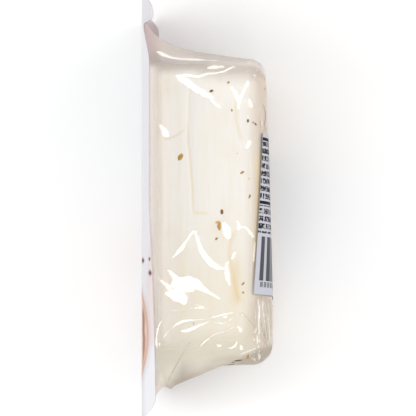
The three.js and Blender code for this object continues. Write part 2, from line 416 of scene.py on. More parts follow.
def frontInk(y, z):
    # fields of colour: a bare panel, round slices with grill bars, tomatoes, leaves, specks and a rosy border
    look = frontLook
    colour = np.broadcast_to(linear(look["white"]), y.shape + (3,)).copy()

    def lay(name, gap, soft=0.3, most=1):
        # an ink where the gap is negative, with a soft border
        colour[:] = colour + (linear(look[name]) - colour) * (most * smooth(soft, -soft, gap))[..., None]

    def turnedTo(cy, cz, angle):
        # distances from a place, along and across a turned line
        return ((z - cz) * math.cos(angle) + (y - cy) * math.sin(angle),
                (y - cy) * math.cos(angle) - (z - cz) * math.sin(angle))

    edge = front["reach"][2] - np.abs(z) + look["borderLap"] - look["borderGrowth"] * smooth(0, -25, y)
    lay("border", np.maximum(edge, look["borderEnd"] - y), most=0.8)
    panel = roundedGap(y, z, *look["panelBox"], look["panelCorner"])
    lay("panel", panel)
    lay("frame", abs(panel + look["frameInset"]) - look["frameHalf"])
    for cy, cz, long, wide, lean, step, first in look["slices"]:
        u, v = turnedTo(cy, cz, lean)
        oval = (np.hypot(u / wide, v / long) - 1) * min(long, wide)
        lay("shade", oval - 0.8, 1.5, 0.5)
        lay("crust", oval)
        lay("slice", oval + look["crustWide"], 0.5)
        uneven = 0.14 * np.sin(0.4 * v) + 0.08 * np.sin(1.3 * v)
        bars = abs((u - first + uneven) % step - step / 2) - look["barHalf"]
        lay("bar", np.maximum(bars, oval + 1.1), 0.4, 0.75)
    for cy, cz, size in look["tomatoes"]:
        around = np.hypot(y - cy, z - cz)
        lay("tomato", around - size)
        lay("flesh", abs(around - 0.55 * size) - 0.2 * size, 0.5)
    for cy, cz, long, turn in look["leaves"]:
        u, v = turnedTo(cy, cz, turn)
        lens = np.hypot(u, abs(v) + 0.7 * long) - 0.92 * long
        lay("leaf", lens)
        lay("rib", np.maximum(abs(v) - 0.18, lens + 0.8), 0.25)
    for cy, cz, size in look["specks"]:
        lay("speck", np.hypot(y - cy, z - cz) - size, 0.2)
    return colour


def cutAway(y, top, bottom):
    # how far round corners of these radii stand in from a straight side
    pastTop = (y - front["reach"][1] + top) / top
    pastBottom = (-y - front["reach"][3] + bottom) / bottom
    over = np.maximum(0, np.maximum(pastTop, pastBottom))
    radius = np.where(y > 0, top, bottom)
    return radius * (1 - np.sqrt(np.maximum(0, 1 - over ** 2)))


far, top, near, bottom = front["reach"]
fineFrom, endLength = frontLook["fineFrom"], frontLook["endLength"]
bow = endLength * (1 - np.cos(np.arange(frontLook["endRows"]) / frontLook["endRows"] * math.pi / 2))
straight = np.linspace(endLength - bottom, top - endLength, frontLook["rows"])
y = np.concatenate([bow - bottom, straight, top - bow[::-1]])
coarse, fine = frontLook["columns"]
z = np.concatenate([np.linspace(-far, fineFrom, coarse, endpoint=False), np.linspace(fineFrom, near, fine)])
farWidth = far - cutAway(y, front["corners"][0], front["corners"][3])
nearWidth = near - cutAway(y, front["corners"][1], front["corners"][2])
across = np.where(z < 0, farWidth[:, None] * z / far, nearWidth[:, None] * z / near)
place = np.stack([np.broadcast_to(y[:, None], across.shape), across], -1)
points, faces = closedSheet(bentBack(0, place), bentBack(front["thick"], place))
y, z = np.moveaxis(place, -1, 0)
mouth = mouthReach()
pastMouth = roundedGap(y, z, (-mouth[3], -mouth[0]), (mouth[1], mouth[2]), frontLook["sealCorner"])
# the back face takes painted shade, grey where sealed and darker mauve at the mouth of the pocket
inner = laidTones(frontLook, "mouthShade", dict(sealShade=smooth(0, frontLook["sealFade"], pastMouth)))
ink = np.concatenate([frontInk(y, z).reshape(-1, 3), inner.reshape(-1, 3)])
packPlace = np.array(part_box("front_film")[0]) - (points @ packAxes.T / 1000).min(0)
makePiece("front_film_print", points, faces.tolist(), frontMaterial, ["front_film"], "printed_film", ink=ink)

# Clear film

# unseen but for its sharp white reflections
filmMaterial, tree = newMaterial("clear film, formed and drawn tight")
mirror = addNode(tree, "BsdfGlossy", {"Color": (1, 1, 1, 1), "Roughness": 0.045})
through = addNode(tree, "BsdfTransparent", {"Color": (1, 1, 1, 1)})
slant = addNode(tree, "LayerWeight", {"Blend": 0.5})
steep = addNode(tree, "Math", {0: slant.outputs["Facing"], 1: 5.0}, operation="POWER")
bounce = addNode(tree, "Math", {0: steep.outputs[0], 1: 0.9, 2: 0.09}, operation="MULTIPLY_ADD")
loose = addNode(tree, "Attribute", attribute_name="loose")
shine = addNode(tree, "Math", {0: bounce.outputs[0], 1: loose.outputs["Fac"]}, operation="MULTIPLY")
mixed = addNode(tree, "MixShader", {0: shine.outputs[0], 1: through.outputs[0], 2: mirror.outputs[0]})
addNode(tree, "OutputMaterial", {"Surface": mixed.outputs[0]})

film = dict(
    stations=(64, 44, 10, 300),
    backRows=18,
    edgeRows=34,
    wallRows=104,
    cell=0.2,
    soft=0.1,
    slack=0.008,
    settle=6,
    rounds=700,
    deepest=-1.02,
    scatterWidths=(0.6, 2),
    scatterHeights=(-0.5, 0.35),
    taut=0.06,  # gloss of the smooth film on the side that shows, and what its other sides have more
    tautOther=0.22,
    skirtRows=11,
    skirtGloss=0.4,
    slope=0.14,  # towards the top, of a flank that catches the long softbox
    slopeFall=0.00155,  # less of it for each mm up the pack
    sideSlope=0.36,  # towards the back, of a flank that catches the upright softbox
    sideFall=0.00155,
    creases=dict(  # lit flanks on the upper side, each a line of depth, along and width
        tentLine=[(4.8, 46.6, 0.8), (6.3, 45.9, 1.3), (9, 44.9, 0.8), (14.4, 44.4, 0.7), (20.1, 44.5, 0.5)],
        tentBlob=[(19.8, 42, 0.9), (21.3, 42.1, 1.5), (22.9, 42.2, 1.2)],
        tentDot=[(23.6, 42.5, 0.9), (24.3, 42.2, 1)],
        thinCurve=[(12.6, 39.9, 0.9), (15, 39.6, 0.8), (17.1, 39.4, 0.7), (19.5, 40.2, 0.5),
                   (23.4, 40.6, 0.5), (25.8, 41.5, 0.5), (28, 42.7, 0.3)],
        band=[(10.9, 39.4, 1.4), (12.6, 38.3, 2.2), (15.3, 36.2, 1.8), (17.7, 34.6, 2.1), (21, 33, 1.3)],
        bandTail=[(20.7, 32.1, 0.5), (22, 31.1, 0.9), (23.2, 30, 0.3)],
        forkLeft=[(26.9, 36.1, 0.3), (27.9, 34.5, 0.9), (28.8, 32.4, 1.4), (29, 29.7, 0.3)],
        forkRight=[(32, 38.1, 0.3), (30.9, 36, 0.4), (30.1, 34, 0.8), (29.3, 32.6, 1.1)],
        drop=[(32.1, 32.7, 0.5), (32.4, 31.4, 0.9), (32.7, 30.3, 0.4)],
        edgeBlob=[(32.4, 20.1, 0.8), (31.9, 18.9, 1.2), (31.3, 18, 0.4)],
        leftPatch=[(5.5, 24.9, 0.6), (6.4, 23.7, 1.4), (7, 22.2, 1.9), (7.9, 21.5, 0.8)],
        slab=[(24.6, -4.2, 0.9), (25.2, -6.3, 2.2), (26, -8.7, 2.1)],
        rearTick=[(28.6, -3.9, 0.3), (29.1, -5.2, 0.7), (29, -6.4, 0.9)],
        rearHook=[(30, -5.6, 0.4), (31.2, -5.8, 0.6), (32.1, -6.9, 0.5), (32.7, -8.1, 0.4),
                  (33.6, -8.8, 0.4)],
        peakLeft=[(9.3, -15, 0.3), (11.7, -12.3, 1.5), (13.5, -9.6, 0.7), (15.9, -6.2, 1.1)],
        peakRight=[(15.9, -6, 1), (16.5, -8.4, 0.9), (17.9, -12.6, 1.5), (20.1, -15.9, 2.1),
                   (22.2, -17.7, 1.8), (24.6, -18.3, 0.5)],
        stem=[(25.8, -15.9, 0.3), (25.4, -17.7, 0.7), (25.5, -19.5, 1.5), (25.7, -21.3, 1.2),
              (26.1, -23.4, 0.3)],
        stemTick=[(27.9, -13.2, 0.3), (27, -15.3, 0.6)],
        patchHorn=[(7.5, -18.3, 0.6), (8.7, -18.9, 1.2), (9.9, -20.7, 1.8)],
        patchSpike=[(3.9, -19.5, 0.3), (5.4, -21.3, 0.6), (7.2, -22.8, 1), (8.4, -24, 1.5)],
        patch=[(10.2, -22.5, 3.6), (13.2, -22.2, 4), (15.9, -22.5, 3.4), (18, -24, 2.1), (22.5, -26.7, 1.1),
               (26.7, -29.2, 0.3)],
        patchFoot=[(7.2, -25.5, 0.9), (9.3, -25.8, 3), (11.4, -26.7, 3.8), (12.8, -28.5, 1.6)],
        patchJoin=[(11, -24.3, 2.4), (15, -24.3, 1.8)],
        arcOuter=[(6.3, -33, 0.4), (8.4, -31.2, 0.4), (11.4, -30.4, 0.5), (16, -29.9, 0.5),
                  (20.4, -30.2, 0.3)],
        arcTick=[(16.2, -28.8, 0.4), (18, -29.4, 0.4)],
        arcMiddle=[(6.6, -38.7, 0.3), (8.1, -36.6, 0.3), (11.4, -34.2, 1.1), (13.8, -33.6, 0.9),
                   (19.8, -33.3, 0.4)],
        arcInner=[(12, -36.9, 1), (14.4, -36.4, 1.4), (16.5, -35.4, 1.2), (20.4, -33.9, 0.3)],
        lowDot=[(12, -40.8, 0.6), (12.3, -41, 0.6)],
        foldUpper=[(20.7, -33, 0.3), (22.2, -32.4, 0.8), (26.4, -31.4, 0.6), (27.6, -31.6, 0.3)],
        foldLower=[(21, -34.2, 0.6), (22.8, -34.4, 0.5), (24.3, -34.6, 0.3)],
        foldDot=[(24.7, -32.9, 0.8), (25.2, -32.4, 0.8)],
        foldRear=[(24.9, -34.5, 0.7), (26.4, -33.6, 0.8), (27.9, -32.4, 0.7), (29.7, -31.5, 0.6)],
        arcLow=[(17.7, -41.1, 0.3), (20.7, -38.4, 0.6), (22.5, -37.5, 0.7), (24.6, -37, 0.7),
                (27.6, -35.5, 0.3)],
        zigTop=[(28.8, -35.4, 0.4), (29.6, -36.6, 0.7), (29.7, -37.4, 0.5)],
        smallDot=[(22.7, -40.7, 0.6), (23.2, -41.5, 1.1), (23.7, -41, 0.5)],
        smile=[(25.5, -41.8, 0.4), (26.7, -42, 0.9), (27.9, -41.2, 0.9), (28.6, -39.9, 0.3)],
        wedge=[(29.7, -41, 0.3), (29.7, -42.3, 1.2)],
        rearDot=[(33.3, -39.2, 0.6), (33.8, -39.4, 0.5)],
    ),
    upright=dict(  # flanks that run down the pack
        dropSide=[(33.1, 32.8, 0.4), (33, 31.2, 0.5)],
        edgeDrop=[(33.9, 23.6, 0.7), (33.5, 22.2, 0.6), (33.8, 21, 0.8)],
        edgeTick=[(33.9, -10.2, 0.3), (33.8, -12, 0.6), (33.5, -15.6, 0.3)],
        rearLine=[(33.1, -27.4, 0.3), (32.8, -29.1, 0.3), (33.6, -30.9, 0.4), (33.9, -32.4, 0.4),
                  (33.7, -33.3, 0.3)],
        arcSide=[(6.3, -33, 0.4), (4.9, -35.4, 0.5), (4.4, -37.8, 0.6), (4.2, -39.9, 0.9),
                 (4.5, -41.4, 0.8)],
        arcDot=[(5.2, -40.4, 0.9), (5.4, -40.7, 0.9)],
        foldEnd=[(29.7, -31.5, 0.4), (31.2, -32.4, 0.4), (33, -34.5, 0.4)],
        zigTail=[(29.9, -37.6, 0.4), (31.2, -39.3, 0.4), (33.6, -42.3, 0.4)],
    ),
    shines=dict(  # where the form already turns to the light
        tentEnd=[(20.7, 44.1, 0.6), (22.8, 44.4, 0.6), (26.7, 45.1, 0.4)],
    ),
)


def curveThrough(path, count=48):
    # a smooth line through points: cubic pieces, whose slope at a point is that between its neighbours
    points = np.array(path, float)
    points = np.concatenate([2 * points[:1] - points[1:2], points, 2 * points[-1:] - points[-2:-1]])
    t = np.linspace(0, len(path) - 1 - 1e-6, count)
    i = t.astype(int)
    t = (t - i)[:, None]
    a, b, c, d = (points[i + k] for k in range(4))
    square, cube = 2 * a - 5 * b + 4 * c - d, 3 * b - a - 3 * c + d
    return 0.5 * (2 * b + (c - a) * t + square * t ** 2 + cube * t ** 3)


def strokeShare(place, stroke, least=0.28, fray=0.25):
    # 1 within half the stroke's width of its line, 0 outside, soft and a little frayed at the border
    line = curveThrough(stroke)
    share = np.zeros(len(place))
    margin = line[:, 2].max() / 2 + film["soft"]
    close = ((place > line[:, :2].min(0) - margin) & (place < line[:, :2].max(0) + margin)).all(1)
    run = np.diff(line[:, :2], axis=0)
    away = place[close][:, None] - line[:-1, :2]
    along = np.clip((away * run).sum(-1) / (run ** 2).sum(-1), 0, 1)
    gap = np.linalg.norm(away - along[..., None] * run, axis=-1)
    half = np.maximum(least, 0.42 * (line[:-1, 2] + along * np.diff(line[:, 2])) - 0.03)
    length = np.linalg.norm(run, axis=1)
    at = np.cumsum(length) - length + along * length + 5 * line[0, 0]
    left = np.sign(run[:, 0] * away[..., 1] - run[:, 1] * away[..., 0])
    half = half * (1 + fray * (0.6 * np.sin(2.3 * at + 1.4 * left) + 0.5 * np.sin(5.9 * at - left)))
    share[close] = smooth(film["soft"], -film["soft"], (gap - half).min(1))
    return share


def reliefFrom(share, fallX, fallY):
    # the height that falls by these slopes inside the strokes, and is as flat as it can be outside;
    # weighted least squares on a grid of depth and along, by conjugate gradients
    weight = film["slack"] + share
    betweenX, betweenY = (weight[1:] + weight[:-1]) / 2, (weight[:, 1:] + weight[:, :-1]) / 2
    wantedX = -betweenX * (fallX[1:] + fallX[:-1]) / 2 * film["cell"]
    wantedY = -betweenY * (fallY[:, 1:] + fallY[:, :-1]) / 2 * film["cell"]
    stay = film["slack"] * (film["cell"] / film["settle"]) ** 2

    def spread(flowX, flowY, out):
        # what flows over a border leaves one cell and enters the next
        out[:-1] -= flowX
        out[1:] += flowX
        out[:, :-1] -= flowY
        out[:, 1:] += flowY
        return out

    def pull(height):
        # the flow that levels a height, and a weak pull back to none
        return spread(betweenX * np.diff(height, axis=0), betweenY * np.diff(height, axis=1), stay * height)

    height = np.zeros_like(share)
    left = spread(wantedX, wantedY, np.zeros_like(share))
    way = left.copy()
    size = (left * left).sum()
    for _ in range(film["rounds"]):
        pulled = pull(way)
        step = size / (way * pulled).sum()
        height += step * way
        left -= step * pulled
        size, before = (left * left).sum(), size
        way = left + size / before * way
    return height


def sampled(grid, low, place):
    # a grid's value between its cells
    spot = np.clip((place - low) / film["cell"], 0, np.array(grid.shape) - 1.001)
    i, j = spot.astype(int).T
    a, b = (spot % 1).T
    return ((1 - a) * (1 - b) * grid[i, j] + a * (1 - b) * grid[i + 1, j]
            + (1 - a) * b * grid[i, j + 1] + a * b * grid[i + 1, j + 1])


def nearFall(depth):
    # how steeply the near side falls away towards the back: its lean and flare, then its rounded edge
    edge = pocket["walls"]["near"]["edge"]
    reach = wallReach(pocket["walls"], depth[:, None], pocket["mouthDepth"])[:, 2]
    past = np.clip((depth - pocket["backDepth"] + edge) / edge, 0, 0.9)
    return -np.gradient(reach + edge * np.sqrt(1 - past ** 2), depth)


def faceRelief(low, high, strokes, upright=(), shines=(), slopeFall=0):
    # relief of one face on its own grid, and where it shines
    counts = ((high - low) / film["cell"]).astype(int) + 1
    first, second = (low[k] + film["cell"] * np.arange(counts[k]) for k in (0, 1))
    grid = np.stack(np.meshgrid(first, second, indexing="ij"), -1)
    place = grid.reshape(-1, 2)

    def shareOf(group):
        # the greatest share of any stroke in the group
        shares = [np.zeros(len(place))] + [strokeShare(place, stroke) for stroke in group]
        return np.max(shares, 0).reshape(counts)

    across, along = shareOf(strokes), shareOf(upright)
    sideways = film["sideSlope"] - film["sideFall"] * grid[..., 0] - nearFall(grid[:, 0, 0])[:, None]
    upward = film["slope"] - slopeFall * grid[..., 1]
    height = reliefFrom(np.maximum(across, along), along * sideways, across * upward)
    return height, np.max([across, along, shareOf(shines)], 0)


def scatterStrokes(count, low, high, widths):
    # short bowed strokes thrown over a face
    made = []
    for _ in range(count):
        at = low + 3 + (high - low - 6) * seed.random(2)
        angle = seed.uniform(0, math.pi)
        way = np.array([math.cos(angle), math.sin(angle)]) * seed.uniform(2, 8)
        bow = np.array([-way[1], way[0]]) * seed.uniform(-0.25, 0.25)
        wide = seed.uniform(*widths)
        made.append([(*(at - way / 2), 0.3), (*(at + bow), wide), (*(at + way / 2), 0.3)])
    return made


def filmRows(piece):
    # the pouch's smooth outer form, as fine as the piece asks
    stations = stationsRound(*piece["stations"])
    return stations, pocketRows(stations, pocket["walls"], pocket["wallCorner"], piece, pocket["mouthDepth"])


stations, rows = filmRows(film)
normal = normalsOf(rows)
flatRows, flatNormal = rows.reshape(-1, 3), normal.reshape(-1, 3)
lift, loose = np.zeros(len(flatRows)), np.zeros(len(flatRows))
sides = [  # the two axes of each face, which way it faces, how far it reaches, scattered strokes
    ((0, 1), (0, 0, 1), (0, -58), (40, 58), 0),
    ((0, 1), (0, 0, -1), (0, -58), (40, 58), 34),
    ((0, 2), (0, 1, 0), (0, -36), (40, 36), 18),
    ((0, 2), (0, -1, 0), (0, -36), (40, 36), 18),
    ((2, 1), (1, 0, 0), (-36, -50), (36, 50), 26),
]
for axes, way, low, high, count in sides:
    low, high = np.array(low, float), np.array(high, float)
    if count:
        height, share = faceRelief(low, high, scatterStrokes(count, low, high, film["scatterWidths"]))
        height = np.clip(height, *film["scatterHeights"])
    else:
        named = [film[group].values() for group in ("creases", "upright", "shines")]
        height, share = faceRelief(low, high, *named, film["slopeFall"])
    turned = smooth(0.1, 0.6, flatNormal @ np.array(way, float))
    chosen = turned > 0
    place = flatRows[chosen][:, axes]
    lift[chosen] += turned[chosen] * sampled(height, low, place)
    loose[chosen] = np.maximum(loose[chosen], turned[chosen] * sampled(share, low, place))
    print("film face", way, "lift", height.min().round(2), height.max().round(2))
lift = np.maximum(lift, film["deepest"]).reshape(rows.shape[:2])
taut = film["taut"] * smooth(5, 11, rows[..., 0]) + film["tautOther"] * smooth(0.4, -0.2, normal[..., 2])
loose = np.maximum(taut, loose.reshape(rows.shape[:2]))
skirt = np.linspace(0, 1, film["skirtRows"])
skirtUnder = pocket["mouthDepth"] - pocket["skirtThick"]
filmGrid = np.concatenate([
    rows + normal * lift[..., None],
    flangeRows(stations, skirt, pocket["mouthDepth"]),
    flangeRows(stations, skirt[::-1], skirtUnder),
    panelRows(stations, [0.6, 0], skirtUnder),
])
loose = np.concatenate([loose, np.full((len(filmGrid) - len(rows), rows.shape[1]), film["skirtGloss"])])
makePiece("clear_film", closedPoints(filmGrid), closedFaces(*filmGrid.shape[:2]), filmMaterial,
          ["cheese_pouch"], loose=closedValues(loose))

# Block of cheese

cheese = dict(
    stations=(150, 90, 12, 210),
    backRows=24,
    edgeRows=14,
    wallRows=76,
    frontDepth=1.1,
    frontEdge=1.4,
    frontRows=7,
    corner=np.array([6.5, 3.6, 6.5, 6.5]),
    cornerInset=2,  # from the mouth's corners to the block's
    walls=dict(
        far=dict(stand=30.6, lean=0.06, leanFrom=33, flare=0, flareReach=3, edge=5.8),
        top=dict(stand=43.0, lean=0.03, leanFrom=33, flare=0, flareReach=3, edge=5.2),
        near=dict(stand=29.9, lean=0.06, leanFrom=33, flare=0, flareReach=3, edge=7.3),
        bottom=dict(stand=46.6, lean=0.12, leanFrom=23.5, flare=0, flareReach=3, edge=10.5),
    ),
    fold=[(14.4, 38), (14.0, 32), (13.7, 25), (13.7, 21), (14.3, 14), (14.9, 6), (15.4, -4)],
    cracks=[
        dict(path=[(6.5, 20.5), (9.5, 21.4), (13.2, 24.0)], depth=0.12, width=0.3),
        dict(path=[(15.4, -1.4), (17.6, -1.5), (20.0, -1.8)], depth=0.02, width=0.4),
        dict(path=[(27.6, -5.5), (26.2, -13), (27.4, -22), (29.5, -29)], depth=0.25, width=0.7),
        dict(path=[(28.0, 34), (28.3, 26), (30, 20)], depth=0.08, width=0.4),
    ],
    roundTop=4.5,  # radius of the block's edges for the brine round it, and what it grows by at the bottom
    roundGrowth=5.5,
    groove=dict(depth=0.32, half=0.22),  # along the fold
    step=dict(depth=0.22, reach=2.5),  # beside it
    stains=[  # tan bands across the depth: the middle, its drift for each mm up, half the width
        dict(at=34.6, drift=0.02, half=0.9, along=[(19, 14), (-19, -12)], most=0.8, upperOnly=False),
        dict(at=28.2, drift=0, half=1.6, along=[(-14, -18), (-31, -27)], most=0.55, upperOnly=True),
    ],
    zones=dict(  # steps in depth and along the pack, from where a colour starts to where it is full
        low=dict(along=[(5, -30)], most=0.55),
        # painted light: the block is lighter towards the mouth, to offset the shade of the flange
        front=dict(depth=[(11, 4.5)]),
        # painted shade: the block darkens towards its rear rounded edge
        edge=dict(depth=[(29.5, 36.5)]),
    ),
    fibreWide=1.43,  # mm, of the curd's long fibres
    fibreLong=23.8,
    mottleWide=10.5,
    cream="#e0dcd5",
    tan="#d8c4a0",
    low="#d9d0bb",
    # a greyer tone for that painted shade
    edge="#c6b8aa",
    # the lighter front tone is painted light
    front="#eee7dd",
)


def lineGap(place, path):
    # signed distance to a smooth line, and the share of the way along it
    line = curveThrough(path, 60)
    run = np.diff(line, axis=0)
    length = np.linalg.norm(run, axis=1)
    away = place[:, None] - line[:-1]
    share = np.clip((away * run).sum(-1) / length ** 2, 0, 1)
    gap = np.linalg.norm(away - share[..., None] * run, axis=-1)
    best = gap.argmin(1)
    pick = np.arange(len(place))
    cross = run[best, 0] * away[pick, best, 1] - run[best, 1] * away[pick, best, 0]
    return np.sign(cross) * gap[pick, best], (best + share[pick, best]) / len(run)


# soft cream with long fibres
cheeseMaterial, tree = newMaterial("halloumi, pressed and folded curd")
spot = addNode(tree, "TexCoord")
perMetre = {size: 1000 / cheese[size] for size in ("fibreWide", "fibreLong", "mottleWide")}
fibreScale = (perMetre["fibreWide"], perMetre["fibreLong"], perMetre["fibreWide"])
drawn = addNode(tree, "Mapping", {"Vector": spot.outputs["Object"], "Scale": fibreScale})
fibres = addNode(tree, "TexNoise", {"Vector": drawn.outputs[0], "Scale": 1.0, "Detail": 4.0})
blots = {"Vector": spot.outputs["Object"], "Scale": perMetre["mottleWide"], "Detail": 3.0}
mottle = addNode(tree, "TexNoise", blots)
tone = addNode(tree, "Attribute", attribute_name="tone")
streakRange = {"Value": fibres.outputs[0], "From Min": 0.45, "From Max": 0.78, "To Max": 0.24}
streak = addNode(tree, "MapRange", streakRange)
blotRange = {"Value": mottle.outputs[0], "From Min": 0.5, "From Max": 0.8, "To Max": 0.22}
blot = addNode(tree, "MapRange", blotRange)
warm = addNode(tree, "Math", {0: streak.outputs[0], 1: blot.outputs[0]}, operation="ADD")
colours = {0: warm.outputs[0], 6: tone.outputs["Color"], 7: rgba(cheese["tan"])}
curd = addNode(tree, "Mix", colours, data_type="RGBA")
bump = addNode(tree, "Bump", {"Height": fibres.outputs[0], "Strength": 0.25, "Distance": 0.0004})
shader = addNode(tree, "BsdfPrincipled", {
    "Base Color": curd.outputs[2],
    "Roughness": 0.5,
    "Normal": bump.outputs[0],
    "Subsurface Weight": 0.15,
    "Subsurface Radius": (1, 0.7, 0.45),
    "Subsurface Scale": 0.003,
})
addNode(tree, "OutputMaterial", {"Surface": shader.outputs[0]})

stations = stationsRound(*cheese["stations"])
frontStart = cheese["frontDepth"] + cheese["frontEdge"]
rows = pocketRows(stations, cheese["walls"], cheese["corner"], cheese, frontStart)
normal = normalsOf(rows)
flatRows = rows.reshape(-1, 3)
upper = smooth(0.2, 0.8, normal[..., 2].ravel())
place = flatRows[:, :2]
off, along = lineGap(place, cheese["fold"])
inFold = smooth(0, 0.05, along) * smooth(1, 0.92, along) * upper
groove, step = cheese["groove"], cheese["step"]
sink = groove["depth"] * np.exp(-(off / groove["half"]) ** 2) * inFold
sink += step["depth"] * smooth(step["reach"], 0, off) * smooth(-0.05, 0.15, off) * inFold
tan = (0.25 + 0.35 * smooth(26, 20, place[:, 1])) * np.exp(-((off - 0.1) / 0.32) ** 2) * inFold
for crack in cheese["cracks"]:
    off, along = lineGap(place, crack["path"])
    ends = smooth(0, 0.1, along) * smooth(1, 0.9, along) * upper
    line = np.exp(-(off / crack["width"]) ** 2) * ends
    sink += crack["depth"] * line
    tan += 0.5 * line
depth, y = place.T
for stain in cheese["stains"]:
    band = np.exp(-((depth - stain["at"] - stain["drift"] * y) / stain["half"]) ** 2)
    band = band * within(stain, depth, y)
    tan += band * upper if stain["upperOnly"] else band
shares = {name: within(zone, depth, y) for name, zone in cheese["zones"].items()}
tone = laidTones(cheese, "cream", dict(shares, tan=np.clip(tan, 0, 1)))
cheeseRows = rows - normal * sink.reshape(rows.shape[:2])[..., None]
turn = np.linspace(0, math.pi / 2, cheese["frontRows"])[:, None]
reach = wallReach(cheese["walls"], np.full(4, frontStart), 0) - cheese["frontEdge"] * (1 - np.cos(turn))
edgePlace = outlines(stations, reach, np.full(reach.shape, pocket["mouthCorner"] - cheese["cornerInset"]))
edgeDepth = cheese["frontDepth"] + cheese["frontEdge"] * (1 - np.sin(turn))
frontRows = settled(np.broadcast_to(edgeDepth, edgePlace.shape[:2]), edgePlace)
middle = frontRows[-1:].mean(1, keepdims=True)
cap = np.concatenate([middle + (frontRows[-1:] - middle) * share for share in (0.6, 0.2, 0)])
cheeseGrid = np.concatenate([cheeseRows, frontRows, cap])
# the front end takes the full painted lightening
frontLightened = np.broadcast_to(linear(cheese["front"]), (len(frontRows) + len(cap), rows.shape[1], 3))
tone = np.concatenate([tone.reshape(rows.shape), frontLightened])
makePiece("halloumi_block", closedPoints(cheeseGrid), closedFaces(*cheeseGrid.shape[:2]), cheeseMaterial,
          (), "cheese_under_film", tone=closedPoints(tone))

# Cloudy brine where the film stands off the block

# a dull veil in the tents of the film
brineMaterial, tree = newMaterial("brine, cloudy with whey")
cloud = addNode(tree, "Attribute", attribute_name="cloud")
tone = addNode(tree, "Attribute", attribute_name="tone")
veil = {"Base Color": tone.outputs["Color"], "Roughness": 0.5, "Alpha": cloud.outputs["Fac"]}
shader = addNode(tree, "BsdfPrincipled", veil)
addNode(tree, "OutputMaterial", {"Surface": shader.outputs[0]})


def outsideCheese(points):
    # distance outside the block, as a box with rounded edges whose radius grows towards the bottom
    d, y, z = np.moveaxis(points, -1, 0)
    d = d / stretchAt(y, z)
    reach = [w["stand"] + w["lean"] * np.maximum(0, w["leanFrom"] - d) for w in cheese["walls"].values()]
    radius = cheese["roundTop"] + cheese["roundGrowth"] * smooth(-5, -35, y)
    across = np.where(z > 0, z - reach[2], -z - reach[0])
    along = np.where(y > 0, y - reach[1], -y - reach[3])
    past = np.stack([across, along, d - pocket["backDepth"]])
    return np.linalg.norm(np.maximum(past + radius, 0), axis=0) - radius


